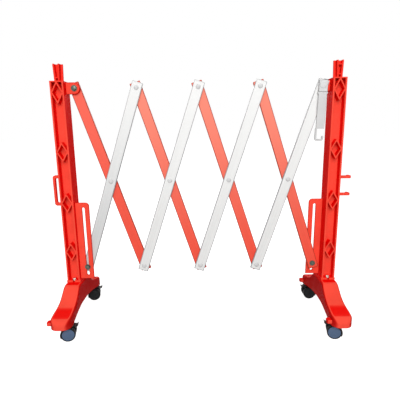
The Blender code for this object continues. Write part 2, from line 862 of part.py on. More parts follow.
def build_lattice():
    """The crossed slats with a rivet at each crossing and at each joint between cells."""
    middle_z = (top_pivot_z + bottom_pivot_z) / 2
    for index in range(cell_count):
        number = index + 1
        left = centre_x - lattice_half + index * cell_width
        middle = (left + cell_width / 2, 0, middle_z)
        top = (left, 0, top_pivot_z)
        red_axis = add_axis(f"red_bar_{number}_axis", *top)
        red = moved(bar_mesh(0), y=layer_offset)
        white = moved(bar_mesh(pivot_span / 2), y=-layer_offset)
        add_part(f"red_bar_{number}", red, red_plastic, top, (0, -bar_lean, 0), red_axis)
        add_part(f"white_bar_{number}", white, white_plastic, middle, (0, bar_lean, 0))
        add_part(f"centre_rivet_{number}", rivet_mesh(), white_plastic, middle, parent=red_axis)
        if index > 0:
            add_part(f"top_rivet_{index}", rivet_mesh(), white_plastic, top, parent=red_axis)
        if number < cell_count:
            bottom = (left + cell_width, 0, bottom_pivot_z)
            add_part(f"bottom_rivet_{number}", rivet_mesh(), white_plastic, bottom, parent=red_axis)


def build_end_pivots():
    """The steel pivots at the lattice's four corners, and the latch on the last of them."""
    top_bolt = end_bolt_mesh(-lattice_face, lattice_face)
    slot_bolt = end_bolt_mesh(-slot_plate_face - slot_plate_thickness, -layer_gap / 2)
    for name, x, turn in (("left", centre_x - lattice_half, 0), ("right", centre_x + lattice_half, pi)):
        add_part(f"{name}_top_bolt", top_bolt, zinc_steel, (x, 0, top_pivot_z), (0, 0, turn))
        add_part(f"{name}_slot_bolt", slot_bolt, zinc_steel, (x, 0, bottom_pivot_z), (0, 0, turn))
    latch_place = (centre_x + lattice_half, 0, top_pivot_z)
    add_part("latch", latch_mesh(), white_plastic, latch_place, (0, latch_rest_swing, 0))


plain_post = combined(post_mesh(), spigot_meshes(), "UNION")
turned_post = half_turned(plain_post.copy())
build_side("left", left_x, 1, combined(plain_post, [loop_mesh()], "UNION"))
build_side("right", right_x, -1, combined(turned_post, hook_meshes(), "UNION"))
build_lattice()
build_end_pivots()
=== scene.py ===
"""The expandable barrier's looks: softened mouldings, slats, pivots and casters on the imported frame.

Lengths are metres. X runs along the barrier, Y away from its front face, Z up.
"""

import json
from math import atan2, cos, pi, radians, sin

import bmesh
import bpy
from mathutils import Matrix, Vector


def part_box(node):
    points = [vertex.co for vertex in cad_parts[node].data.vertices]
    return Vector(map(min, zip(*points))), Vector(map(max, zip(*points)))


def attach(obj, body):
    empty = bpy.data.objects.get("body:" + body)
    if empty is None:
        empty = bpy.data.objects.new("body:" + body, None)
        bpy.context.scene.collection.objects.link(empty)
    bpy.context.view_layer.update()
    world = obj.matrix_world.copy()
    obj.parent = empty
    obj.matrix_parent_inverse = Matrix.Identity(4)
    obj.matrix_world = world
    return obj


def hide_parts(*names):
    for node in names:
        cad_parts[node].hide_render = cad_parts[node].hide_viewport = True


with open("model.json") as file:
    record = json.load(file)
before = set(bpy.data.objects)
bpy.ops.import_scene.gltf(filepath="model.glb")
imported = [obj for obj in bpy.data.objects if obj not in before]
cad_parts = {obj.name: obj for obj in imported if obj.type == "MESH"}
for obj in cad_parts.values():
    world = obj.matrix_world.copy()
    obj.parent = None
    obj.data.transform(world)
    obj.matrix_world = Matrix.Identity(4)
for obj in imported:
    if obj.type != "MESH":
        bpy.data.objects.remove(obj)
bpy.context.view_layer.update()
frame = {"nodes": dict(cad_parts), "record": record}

# Camera of the photograph
frame_pixels = 400
focal_pixels = 345.0
camera_place = (0.0018, -1.3226, 0.7557)
camera_pitch = 0.1966
camera_yaw = -0.0059
camera_roll = -0.0129

# Studio light
world_fill = 0.32
lamps = (
    ("key", (0.0, -2.9, 2.0), 2.0, 1.6, 80.0),
    ("top", (0.0, -0.6, 3.0), 2.0, 1.2, 14.0),
    ("back", (0.0, 3.0, 1.8), 2.0, 1.6, 34.0),
)

# Sizes shared by several pieces
post_top = 0.940
sharp_angle = radians(32)
weld_distance = 0.00001
round_steps = 64
arc_steps = 6
flush_step = 0.0001

bodies = frame["record"]["behaviour"]["bodies"]
body_of_node = {node: body for body, nodes in bodies.items() for node in nodes}


class Graph:
    """The node tree of a material or of the world."""

    def __init__(self, owner):
        owner.use_nodes = True
        self.tree = owner.node_tree

    def new(self, kind, **settings):
        """A new node of a kind, with its settings."""
        node = self.tree.nodes.new(f"ShaderNode{kind}")
        for name, value in settings.items():
            setattr(node, name, value)
        return node

    def feed(self, node, output, inputs):
        """Link or set those of a node's inputs that are given, and return one of its outputs."""
        for socket, value in inputs.items():
            if value is not None:
                self.link(value, node.inputs[socket])
        return node.outputs[output]

    def link(self, value, socket):
        """Feed a socket from another one, or give it a number or a colour."""
        if isinstance(value, bpy.types.NodeSocket):
            self.tree.links.new(value, socket)
        elif isinstance(value, tuple):
            socket.default_value = (*value, 1.0)
        else:
            socket.default_value = value

    def seen_or_mirrored(self):
        """One for rays from the camera and for mirrored or refracted ones, which see the white studio."""
        rays = self.new("LightPath").outputs
        share = rays["Is Camera Ray"]
        for kind in ("Is Glossy Ray", "Is Transmission Ray"):
            larger = self.new("Math", operation="MAXIMUM")
            share = self.feed(larger, "Value", {0: share, 1: rays[kind]})
        return share


class Shader(Graph):
    """A material's node tree, with one method for each kind of step that the looks need."""

    def __init__(self, name, roughness, metallic=0.0, gloss=0.5):
        self.material = bpy.data.materials.new(name)
        super().__init__(self.material)
        self.surface = self.tree.nodes["Principled BSDF"]
        values = {"Roughness": roughness, "Metallic": metallic, "Specular IOR Level": gloss}
        self.lit = self.feed(self.surface, "BSDF", values)
        self.place = self.new("TexCoord").outputs["Object"]

    def noise(self, per_metre, detail=2.0, vector=None):
        inputs = {"Scale": per_metre, "Detail": detail, "Vector": vector or self.place}
        return self.feed(self.new("TexNoise"), "Fac", inputs)

    def drawn_noise(self, per_metre, detail=2.0):
        """Noise with a scale of its own along each of the object's axes."""
        mapping = self.new("Mapping", vector_type="POINT")
        mapping.inputs["Scale"].default_value = per_metre
        return self.noise(1.0, detail, self.feed(mapping, "Vector", {"Vector": self.place}))

    def ramp(self, value, low, high, low_to=0.0, high_to=1.0):
        node = self.new("MapRange", interpolation_type="SMOOTHSTEP")
        ends = {"From Min": low, "From Max": high, "To Min": low_to, "To Max": high_to}
        return self.feed(node, "Result", {**ends, "Value": value})

    def patches(self, per_metre, within, most_share=1.0, detail=2.0):
        """A share that rises to its most where the noise is high."""
        return self.ramp(self.noise(per_metre, detail), *within, 0.0, most_share)

    def times(self, first, second):
        return self.feed(self.new("Math", operation="MULTIPLY"), "Value", {0: first, 1: second})

    def mix(self, share, first, second):
        inputs = {"Factor": share, "A": first, "B": second}
        return self.feed(self.new("Mix", data_type="RGBA"), "Result", inputs)

    def toned(self, share, colour, low_share, high_share):
        """A colour that passes from one shade of itself to another."""
        return self.mix(share, shade(colour, low_share), shade(colour, high_share))

    def convex_edges(self, low, high):
        """A share that rises on outer edges, where hands and floors rub."""
        return self.ramp(self.new("NewGeometry").outputs["Pointiness"], low, high)

    def scuffed(self, base, scuff, share, per_metre, within):
        """The base with its outer edges rubbed in broken patches."""
        broken = self.patches(per_metre, within, detail=4.0)
        edges = self.times(self.convex_edges(low=0.515, high=0.60), broken)
        return self.mix(self.times(edges, share), base, scuff)

    def varied(self, value, within, smoother, rougher):
        """A roughness that varies with a value about the finish's own."""
        own = self.surface.inputs["Roughness"].default_value
        return self.ramp(value, *within, own - smoother, own + rougher)

    def rim(self):
        """A share that rises towards the outlines of the pieces that carry a rim value."""
        value = self.new("Attribute", attribute_name="rim").outputs["Fac"]
        return self.ramp(value, low=0.3, high=0.9)

    def facing(self, axis, low, high):
        """A share that rises where the surface faces along one of the object's axes."""
        normal = self.new("TexCoord").outputs["Normal"]
        part = self.feed(self.new("SeparateXYZ"), axis, {"Vector": normal})
        size = self.feed(self.new("Math", operation="ABSOLUTE"), "Value", {0: part})
        return self.ramp(size, low, high)

    def height(self):
        return self.feed(self.new("SeparateXYZ"), "Z", {"Vector": self.place})

    def bump(self, height, strength, distance, below=None):
        inputs = {"Strength": strength, "Distance": distance, "Height": height, "Normal": below}
        return self.feed(self.new("Bump"), "Normal", inputs)

    def finish(self, colour, roughness=None, normal=None):
        inputs = {"Base Color": colour, "Roughness": roughness, "Normal": normal}
        self.feed(self.surface, "BSDF", inputs)
        return self.material


def shade(colour, share):
    return tuple(min(1.0, part * share) for part in colour)


# Noise values over which marks set in
soft_range = (0.3, 0.7)
wide_range = (0.2, 0.8)


def moulded_plastic(name, colour, side_shade, rim, scuff, roughness=0.42):
    """Injection-moulded plastic: grained flats, flow clouds, sink waves, scuffs and dust, with painted shade
    on side and level faces, outlines, the post's top end and low sides.
    """
    look = Shader(name, roughness, gloss=0.006)
    top_shade_reach = 0.010
    top_shade_rise = 0.006
    top_shade_share = 0.55
    low_shade_top = 0.175
    low_shade_full = 0.150
    low_shade_share = 0.75
    low_shade_dark_share = 0.42
    dust_top = 0.16
    dust_share = 0.04
    dust = (0.42, 0.38, 0.34)
    scratch_scale = (40.0, 40.0, 520.0)
    scratch_depth = 0.00010
    sink_depth = 0.0006
    grain_depth = 0.00012
    clouds = look.patches(per_metre=14.0, within=soft_range, detail=3.0)
    clouded = look.toned(clouds, colour, low_share=0.93, high_share=1.04)
    # Painted shade: faces that turn sideways or lie nearly level take the darker, shaded copy of the colour.
    sideways = look.facing("X", low=0.30, high=0.80)
    shade_painted = look.mix(sideways, clouded, side_shade)
    shade_painted = look.mix(look.facing("Z", low=0.950, high=0.977), shade_painted, side_shade)
    height = look.height()
    # Painted shade: the post's top end and spigot drawn part way to the shaded colour.
    top_shaded = look.ramp(height, post_top - top_shade_reach, post_top + top_shade_rise, 0.0, top_shade_share)
    shade_painted = look.mix(top_shaded, shade_painted, side_shade)
    # Painted shade: side faces low down, on the feet, drawn darker still.
    low_side_shade = look.times(sideways, look.ramp(height, low_shade_top, low_shade_full, 0.0, low_shade_share))
    shade_painted = look.mix(low_side_shade, shade_painted, shade(side_shade, low_shade_dark_share))
    # Painted shade along the outlines of pieces that carry a rim value.
    base = look.mix(look.rim(), shade_painted, rim)
    # Outer edges lighter in broken patches: wear, and where the scuff colour is lighter, as on the red
    # moulding, also a painted edge highlight.
    worn = look.scuffed(base, scuff, share=0.12, per_metre=220.0, within=(0.38, 0.68))
    low = look.ramp(height, dust_top, 0.0, 0.0, dust_share)
    dusty = look.mix(look.times(low, look.noise(per_metre=60.0, detail=5.0)), worn, dust)
    shine = look.noise(per_metre=90.0, detail=4.0)
    gloss = look.varied(shine, within=wide_range, smoother=0.06, rougher=0.08)
    waves = look.bump(look.noise(per_metre=30.0, detail=1.0), strength=0.25, distance=sink_depth)
    grain = look.bump(look.noise(per_metre=1500.0), strength=0.10, distance=grain_depth, below=waves)
    scratches = look.ramp(look.drawn_noise(scratch_scale), low=0.62, high=0.72)
    rubbed = look.bump(scratches, strength=0.06, distance=scratch_depth, below=grain)
    return look.finish(dusty, gloss, rubbed)


def painted_slat(name, colour, lit_top, rim, scuff, top_rim_share):
    """A slat's finish: streaks, draw lines, painted shade along the outlines, chips, and painted light that
    makes it paler towards the upper end.
    """
    look = Shader(name, roughness=0.36, gloss=0.05)
    light_rise_start = -0.40
    light_rise_end = 0.48
    streak_scale = (260.0, 260.0, 3.0)
    draw_scale = (1800.0, 1800.0, 6.0)
    draw_depth = 0.00012
    peel_depth = 0.00018
    streak = look.drawn_noise(streak_scale, detail=3.0)
    streaked = look.toned(look.ramp(streak, *soft_range), colour, low_share=0.95, high_share=1.03)
    height = look.height()
    # Painted light: the slat grows paler towards its upper end.
    lit_towards_top = look.mix(look.ramp(height, light_rise_start, light_rise_end), streaked, lit_top)
    # The outline's painted shade eases towards the upper end.
    rim_shade_eased = look.ramp(height, 0.0, light_rise_end, 1.0, top_rim_share)
    # Painted shade along the slat's outlines.
    base = look.mix(look.times(look.rim(), rim_shade_eased), lit_towards_top, rim)
    worn = look.scuffed(base, scuff, share=0.30, per_metre=160.0, within=(0.40, 0.66))
    chips = look.patches(per_metre=75.0, within=(0.735, 0.765), most_share=0.35, detail=6.0)
    chipped = look.mix(chips, worn, scuff)
    gloss = look.varied(streak, within=wide_range, smoother=0.05, rougher=0.07)
    lines = look.bump(look.drawn_noise(draw_scale), strength=0.08, distance=draw_depth)
    peel = look.bump(look.noise(per_metre=420.0), strength=0.07, distance=peel_depth, below=lines)
    return look.finish(chipped, gloss, peel)


def plated_steel(name, colour, roughness=0.34):
    """Zinc-plated steel: passivation tints, dull spots and fine marks."""
    look = Shader(name, roughness, metallic=1.0)
    spot = (0.24, 0.22, 0.17)
    mark_depth = 0.00010
    tint = look.patches(per_metre=160.0, within=(0.32, 0.68), detail=3.0)
    base = look.toned(tint, colour, low_share=0.82, high_share=1.12)
    spots = look.patches(per_metre=600.0, within=(0.60, 0.72), most_share=0.45, detail=4.0)
    shine = look.noise(per_metre=300.0, detail=3.0)
    gloss = look.varied(shine, within=(0.25, 0.75), smoother=0.08, rougher=0.14)
    marks = look.bump(look.noise(per_metre=1900.0), strength=0.12, distance=mark_depth)
    return look.finish(look.mix(spots, base, spot), gloss, marks)


def black_moulding(name, colour, roughness=0.38):
    """Caster plastic with a fine texture, rubbed edges and patches of grey dust."""
    look = Shader(name, roughness, gloss=0.12)
    dust = (0.20, 0.19, 0.18)
    rubbed = (0.18, 0.18, 0.185)
    rubbed_share = 0.16
    grain_depth = 0.00010
    dusted = look.patches(per_metre=45.0, within=(0.45, 0.75), most_share=0.05, detail=5.0)
    edges = look.times(look.convex_edges(low=0.52, high=0.62), rubbed_share)
    worn = look.mix(edges, look.mix(dusted, colour, dust), rubbed)
    shine = look.noise(per_metre=120.0, detail=3.0)
    gloss = look.varied(shine, within=soft_range, smoother=0.07, rougher=0.10)
    grain = look.bump(look.noise(per_metre=2100.0), strength=0.14, distance=grain_depth)
    return look.finish(worn, gloss, grain)


def tread_rubber(name, colour):
    """Wheel tread: dull, nicked and dusty from the floor."""
    look = Shader(name, roughness=0.62, gloss=0.12)
    dust = (0.17, 0.16, 0.145)
    nick_depth = 0.00016
    dusted = look.patches(per_metre=70.0, within=(0.40, 0.72), most_share=0.12, detail=5.0)
    shine = look.noise(per_metre=150.0, detail=3.0)
    gloss = look.varied(shine, within=soft_range, smoother=0.10, rougher=0.12)
    nicks = look.bump(look.noise(per_metre=700.0, detail=4.0), strength=0.20, distance=nick_depth)
    return look.finish(look.mix(dusted, colour, dust), gloss, nicks)


# The moulding's red and the deeper red below it are the same plastic, drawn lit with a painted sheen and
# drawn in painted shade.
red = (0.93, 0.077, 0.047)
shaded_red = (0.88, 0.003, 0.002)
# The darker outline colours here, for the rims, are painted shade along the edges.
red_edge_shade = (0.66, 0.008, 0.004)
# The red scuff colour is wear, and also a painted edge highlight.
red_scuff_and_highlight = (0.94, 0.16, 0.11)
coral = (0.89, 0.094, 0.058)
# The paler upper-end slat colours are painted light; the least pale of them belongs to the first red slat.
lit_coral_top = (0.90, 0.268, 0.192)
less_lit_coral_top = (0.90, 0.150, 0.105)
coral_edge_shade = (0.42, 0.040, 0.018)
coral_scuff = (0.95, 0.35, 0.28)
white = (0.78, 0.78, 0.77)
lit_white_top = (0.84, 0.84, 0.83)
# Darker white for the first white slat: painted shade.
shaded_white = (0.63, 0.64, 0.64)
white_edge_shade = (0.36, 0.36, 0.37)
white_scuff = (0.62, 0.62, 0.60)
# The pale plastic's darker grey below is its copy in painted shade, for side and level faces.
pale = (0.66, 0.66, 0.66)
shaded_pale = (0.48, 0.48, 0.48)
# The darkest grey is painted shade along the pale plastic's outlines.
grey_edge_shade = (0.45, 0.45, 0.45)
latch_scuff = (0.80, 0.80, 0.79)
cap_scuff = (0.60, 0.60, 0.58)
dull_zinc = (0.095, 0.115, 0.095)
bright_zinc = (0.72, 0.70, 0.62)
black = (0.006, 0.006, 0.007)
tread_black = (0.008, 0.008, 0.009)
disc_blue = (0.088, 0.138, 0.230)
shaded_disc_colour = (0.009, 0.011, 0.012)
coral_top_rim_share = 0.90
less_lit_top_rim_share = 0.95
white_top_rim_share = 0.50


def slat_looks():
    """The slats' finishes by name: two reds and two whites, with their colours at the lower and upper end;
    the paler upper colours are painted light, and one white is darker in painted shade.
    """
    white_trim = (white_edge_shade, white_scuff, white_top_rim_share)
    finishes = {
        "red_slat": (coral, lit_coral_top, coral_edge_shade, coral_scuff, coral_top_rim_share),
        "less_lit_red_slat": (coral, less_lit_coral_top, coral_edge_shade, coral_scuff, less_lit_top_rim_share),
        "white_slat": (white, lit_white_top, *white_trim),
        "shaded_white_slat": (shaded_white, lit_white_top, *white_trim),
    }
    return {name: painted_slat(name, *values) for name, values in finishes.items()}


looks = {
    "moulding": moulded_plastic("red_moulding", red, shaded_red, red_edge_shade, red_scuff_and_highlight),
    "latch": moulded_plastic("latch_plastic", pale, shaded_pale, grey_edge_shade, latch_scuff, roughness=0.36),
    "cap": moulded_plastic("rivet_cap_plastic", pale, shaded_pale, grey_edge_shade, cap_scuff, roughness=0.30),
    "steel": plated_steel("zinc_steel", dull_zinc),
    "bright_steel": plated_steel("bright_zinc", bright_zinc, roughness=0.26),
    "black": black_moulding("black_plastic", black),
    "tread": tread_rubber("wheel_tread", tread_black),
    "disc": black_moulding("hub_disc_plastic", disc_blue, roughness=0.30),
    # The rear casters' discs: the front discs' plastic drawn near black, in painted shade.
    "shaded_disc": black_moulding("shaded_disc_plastic", shaded_disc_colour, roughness=0.26),
    **slat_looks(),
}


def mesh_of(shape, name="part"):
    """A mesh of the shape, which is used up."""
    mesh = bpy.data.meshes.new(name)
    shape.to_mesh(mesh)
    shape.free()
    return mesh


def put_in_scene(name, data):
    """A new object in the scene that shows a mesh, a light or a camera."""
    thing = bpy.data.objects.new(name, data)
    bpy.context.scene.collection.objects.link(thing)
    return thing


def make_piece(name, shape, look, node, replaces=True, place=None):
    """A new piece on the node's body, which stands for the node unless another piece does."""
    bmesh.ops.recalc_face_normals(shape, faces=shape.faces)
    mesh = mesh_of(shape, name)
    mesh.materials.append(looks[look])
    mesh.shade_smooth()
    mesh.set_sharp_from_angle(angle=sharp_angle)
    piece = put_in_scene(name, mesh)
    if place is not None:
        piece.matrix_world = place
    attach(piece, body_of_node[node])
    if replaces:
        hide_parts(node)
    return piece


def node_shape(node):
    """The node's own solid with its flat faces whole again."""
    source = frame["nodes"][node]
    shape = bmesh.new()
    shape.from_mesh(source.data)
    shape.transform(source.matrix_world)
    bmesh.ops.remove_doubles(shape, verts=shape.verts, dist=weld_distance)
    flat = radians(0.5)
    bmesh.ops.dissolve_limit(shape, angle_limit=flat, verts=shape.verts, edges=shape.edges)
    return shape


def softened(node, look, width):
    """The node's solid with its sharp edges rounded."""
    piece = make_piece(f"{node}_soft", node_shape(node), look, node)
    rounding = piece.modifiers.new("rounding", "BEVEL")
    rounding.width = width
    rounding.segments = 2
    rounding.limit_method = "ANGLE"
    rounding.angle_limit = sharp_angle
    rounding.use_clamp_overlap = True
    even_shading(piece)


def even_shading(piece):
    """Keep flat faces flat beside their rounded edges."""
    even = piece.modifiers.new("even_shading", "WEIGHTED_NORMAL")
    even.keep_sharp = True


def arc(centre, radius, start, end, steps=arc_steps):
    """Points on an arc, both ends included."""
    turns = [start + (end - start) * step / steps for step in range(steps + 1)]
    return [(centre[0] + radius * cos(turn), centre[1] + radius * sin(turn)) for turn in turns]


def round_corner(point, radius, start):
    """A quarter turn from the start angle, in place of an outline's sharp corner."""
    across = cos(start) - sin(start)
    up = cos(start) + sin(start)
    return arc((point[0] - radius * across, point[1] - radius * up), radius, start, start + pi / 2)


def placed(point, depth, view):
    """An outline's point at a depth: (x, z) seen from the front, or (x, y) seen from above."""
    if view == "front":
        return (point[0], depth, point[1])
    return (point[0], point[1], depth)


def prism(outline, thickness, view="front", depth=0.0, hole=None):
    """A flat shape about the given depth; a hole's outline has as many points as the outer one."""
    shape = bmesh.new()
    loops = []
    for level in (depth - thickness / 2, depth + thickness / 2):
        loops.append([shape.verts.new(placed(point, level, view)) for point in outline])
        if hole:
            loops.append([shape.verts.new(placed(point, level, view)) for point in hole])
    if hole:
        near, near_hole, far, far_hole = loops
        pairs = ((near, near_hole), (near_hole, far_hole), (far_hole, far), (far, near))
    else:
        near, far = loops
        pairs = ((near, far),)
        shape.faces.new(near)
        shape.faces.new(far)
    for first, second in pairs:
        for index in range(len(outline)):
            last = index - 1
            shape.faces.new((first[last], first[index], second[index], second[last]))
    bmesh.ops.recalc_face_normals(shape, faces=shape.faces)
    return shape


def plate(size, centre):
    """A flat-sided block of the given size about its centre."""
    x, y, z = centre
    half_x, half_y = size[0] / 2, size[1] / 2
    corners = ((-1, -1), (1, -1), (1, 1), (-1, 1))
    outline = [(x + right * half_x, y + back * half_y) for right, back in corners]
    return prism(outline, size[2], "plan", z)


def rounded(shape, width, segments=2):
    """Round every sharp edge of a shape."""
    edges = [edge for edge in shape.edges if edge.calc_face_angle(0) > sharp_angle]
    options = {"offset": width, "segments": segments, "profile": 0.5, "clamp_overlap": True}
    bmesh.ops.bevel(shape, geom=edges, affect="EDGES", **options)
    return shape


def stood(shape, place, axis):
    """Turn an upright shape to face along its axis and move it to its place."""
    if axis == "Y":
        shape.transform(Matrix.Rotation(-pi / 2, 4, "X"))
    shape.transform(Matrix.Translation(place))
    return shape


def lathe(profile, place=(0, 0, 0), axis="Y"):
    """A solid of revolution from (radius, height) points, about an axis through the place."""
    shape = bmesh.new()
    verts = [shape.verts.new((radius, 0, height)) for radius, height in profile]
    edges = [shape.edges.new(pair) for pair in zip(verts, verts[1:])]
    turn = {"cent": (0, 0, 0), "axis": (0, 0, 1), "angle": 2 * pi, "steps": round_steps}
    bmesh.ops.spin(shape, geom=verts + edges, use_merge=True, **turn)
    bmesh.ops.remove_doubles(shape, verts=shape.verts, dist=weld_distance)
    return stood(shape, place, axis)


def add_shape(shape, other):
    """Put another shape's faces into the first one."""
    mesh = mesh_of(other)
    shape.from_mesh(mesh)
    bpy.data.meshes.remove(mesh)


def hexagon(radius, start, end, place=(0, 0, 0), axis="Y"):
    """A bolt head or nut, of the given radius to its corners, with its rims chamfered."""
    shape = bmesh.new()
    height = end - start
    bmesh.ops.create_cone(shape, cap_ends=True, segments=6, radius1=radius, radius2=radius, depth=height)
    rims = [edge for edge in shape.edges if abs(edge.verts[0].co.z - edge.verts[1].co.z) < weld_distance]
    bmesh.ops.bevel(shape, geom=rims, offset=hex_chamfer, segments=2, affect="EDGES", profile=0.5)
    shape.transform(Matrix.Translation((0, 0, (start + end) / 2)))
    return stood(shape, place, axis)


def middle_of(node):
    low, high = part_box(node)
    return (Vector(low) + Vector(high)) / 2


def floor_under(node):
    """The point on the floor under the node's middle."""
    place = middle_of(node)
    place.z = 0.0
    return place


def eased(radius, top, bottom):
    """Profile points down the side of a cylinder with both its rims eased."""
    return [
        (radius - rim_round, top),
        (radius, top - rim_round),
        (radius, bottom + rim_round),
        (radius - rim_round, bottom),
    ]


def thread(radius, start, end):
    """Profile points of a threaded stretch, from its upper end to its lower end."""
    points = []
    turns = max(1, int((start - end) / thread_pitch))
    for turn in range(turns):
        points.append((radius, start - turn * thread_pitch))
        points.append((radius - thread_depth, start - (turn + 1 / 2) * thread_pitch))
    return points + [(radius, end)]


# Pivots and bolts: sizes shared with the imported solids
pivot_radius = 0.0045
rivet_head_radius = 0.0088
rivet_head_thickness = 0.0030
washer_radius = 0.0112
washer_thickness = 0.0014
bolt_head_radius = 0.0090
bolt_head_height = 0.0052
nut_height = 0.0030
bolt_tip = 0.0040
rim_round = 0.0004
hex_chamfer = 0.0007
thread_pitch = 0.0012
thread_depth = 0.0005
dome_shares = ((0, 1), (0.30, 0.97), (0.56, 0.86), (0.78, 0.66), (0.93, 0.38), (1, 0.12), (0.98, 0))


def rivet(node):
    """A pivot with a shallow domed head on each face."""
    low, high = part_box(node)
    crown = (high.y - low.y) / 2
    face = crown - rivet_head_thickness
    dome = [(rivet_head_radius * out, face + rivet_head_thickness * up) for out, up in dome_shares]
    half = [*dome, (pivot_radius, face)]
    profile = half + [(radius, -height) for radius, height in reversed(half)]
    make_piece(f"{node}_domed", lathe(profile, middle_of(node)), "cap", node)


def end_bolt(node, head_side, clamped):
    """A hexagon bolt with washers, nut and threaded tip; head_side is -1 where the head faces the front."""
    low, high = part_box(node)
    place = middle_of(node)
    place.y = 0.0
    start = -high.y if head_side > 0 else low.y
    head = start + bolt_head_height
    grip = head + washer_thickness
    nut = grip + clamped
    nut_start = nut + washer_thickness
    nut_end = nut_start + nut_height
    tip = nut_end + bolt_tip
    shank = [
        (0, tip),
        (pivot_radius - 2 * rim_round, tip),
        *thread(pivot_radius, tip - 2 * rim_round, nut_end),
        (pivot_radius, grip),
        (0, grip),
    ]
    shape = lathe(shank)
    for washer_start in (head, nut):
        washer_end = washer_start + washer_thickness
        washer_side = eased(washer_radius, washer_end, washer_start)
        add_shape(shape, lathe([(0, washer_end), *washer_side, (0, washer_start)]))
    add_shape(shape, hexagon(bolt_head_radius, start, head))
    add_shape(shape, hexagon(bolt_head_radius, nut_start, nut_end))
    if head_side > 0:
        shape.transform(Matrix.Rotation(pi, 4, "Z"))
    shape.transform(Matrix.Translation(place))
    make_piece(f"{node}_threaded", shape, "steel", node)


# Fixing bolts and caster stems
fixing_radius = 0.0030
fixing_washer_radius = 0.0078
fixing_washer_thickness = 0.0015
fixing_head_radius = 0.0068
fixing_head_height = 0.0060
stem_radius = 0.0040
stem_collar_radius = 0.0080
stem_collar_top = 0.0602
stem_collar_bottom = 0.0553


def foot_bolt(node):
    """An upright bolt with a washer, its head chamfered."""
    low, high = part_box(node)
    head = high.z - fixing_head_height
    seat = head - fixing_washer_thickness
    profile = [
        (0, head),
        (fixing_washer_radius - rim_round, head),
        (fixing_washer_radius, head - rim_round),
        (fixing_washer_radius, seat),
        (fixing_radius, seat),
        (fixing_radius, low.z),
        (0, low.z),
    ]
    place = floor_under(node)
    shape = lathe(profile, place, "Z")
    add_shape(shape, hexagon(fixing_head_radius, head, high.z, place, "Z"))
    make_piece(f"{node}_chamfered", shape, "bright_steel", node)


def stem(node):
    """A caster stem with a flanged collar under the foot."""
    low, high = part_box(node)
    profile = [
        (0, high.z),
        (stem_radius - rim_round, high.z),
        (stem_radius, high.z - rim_round),
        (stem_radius, stem_collar_top),
        *eased(stem_collar_radius, stem_collar_top, stem_collar_bottom),
        (stem_radius, stem_collar_bottom),
        (stem_radius, low.z),
        (0, low.z),
    ]
    make_piece(f"{node}_turned", lathe(profile, floor_under(node), "Z"), "steel", node)


# Casters
caster_turns = {"left_front": 13, "left_rear": 15, "right_front": -13, "right_rear": 0}
caster_trail = 0.016
wheel_radius = 0.026
wheel_inner = 0.0065
wheel_outer = 0.0235
tread_depth = 0.0030
tread_round = 0.0022
axle_radius = 0.0025
axle_half = 0.0172
axle_bore = 0.0028
axle_bore_depth = 0.0112
disc_gap = 0.0007
disc_recess = 0.0010
disc_round = 0.0008
disc_dome = 0.0008
rib_groove = 0.0005
rib_groove_width = 0.0008
rib_groove_radius = 0.0165
cap_radius = 0.0062
cap_height = 0.0005
shoulder_steps = 4


def caster_place(caster):
    """Where a caster's axle lies: from its stem, turned as it came to rest."""
    stem_place = middle_of(f"{caster}_caster_stem")
    inward = -1 if stem_place.x > 0 else 1
    swivel = Matrix.Rotation(radians(caster_turns[caster]), 4, "Z")
    trail = Matrix.Translation((inward * caster_trail, 0, wheel_radius))
    return Matrix.Translation((stem_place.x, stem_place.y, 0)) @ swivel @ trail


def axle(caster):
    """The short pin that both wheels turn on."""
    node = f"{caster}_caster_axle"
    side = eased(axle_radius, axle_half, -axle_half)
    shape = lathe([(0, axle_half), *side, (0, -axle_half)])
    shape.transform(caster_place(caster))
    make_piece(f"{node}_turned", shape, "bright_steel", node)


def wheel(caster, which, disc_look):
    """A wheel's tread with round shoulders, and the domed disc in its outer face."""
    node = f"{caster}_{which}_wheel"
    rim = wheel_radius - tread_depth
    seat = wheel_outer - disc_recess - disc_round
    centre = (wheel_radius - tread_round, wheel_outer - tread_round)
    shoulder = arc(centre, tread_round, pi / 2, 0, shoulder_steps)
    lower_shoulder = [(radius, wheel_inner + wheel_outer - height) for radius, height in reversed(shoulder)]
    tread = [
        (0, seat - disc_round),
        (rim, seat - disc_round),
        (rim, wheel_outer - rim_round),
        (rim + rim_round, wheel_outer),
        *shoulder,
        *lower_shoulder,
        (rim, wheel_inner),
        (rim, wheel_inner + disc_round),
        (2 * axle_bore, wheel_inner + disc_round),
        (2 * axle_bore, wheel_inner),
        (axle_bore, wheel_inner),
        (axle_bore, wheel_inner + axle_bore_depth),
        (0, wheel_inner + axle_bore_depth),
    ]
    disc_edge = rim - disc_gap
    crown = wheel_outer + disc_dome
    slope_low = wheel_outer - disc_recess / 2
    slope = (crown + slope_low) / 2
    disc = [
        (0, crown),
        (cap_radius - rim_round, crown),
        (cap_radius, crown - cap_height),
        (cap_radius + rib_groove_width, crown - cap_height),
        (rib_groove_radius - rib_groove_width, slope),
        (rib_groove_radius, slope - rib_groove),
        (rib_groove_radius + rib_groove_width, slope),
        (disc_edge - disc_round, slope_low),
        (disc_edge, slope_low - disc_round),
        (disc_edge, seat),
        (0, seat),
    ]
    rear = middle_of(f"{caster}_caster_stem").y > 0
    half_turn = 0 if rear == (which == "outer") else pi
    for name, profile, look in (("tread", tread, "tread"), ("disc", disc, disc_look)):
        shape = lathe(profile)
        shape.transform(caster_place(caster) @ Matrix.Rotation(half_turn, 4, "Z"))
        make_piece(f"{node}_{name}", shape, look, node, name == "tread")


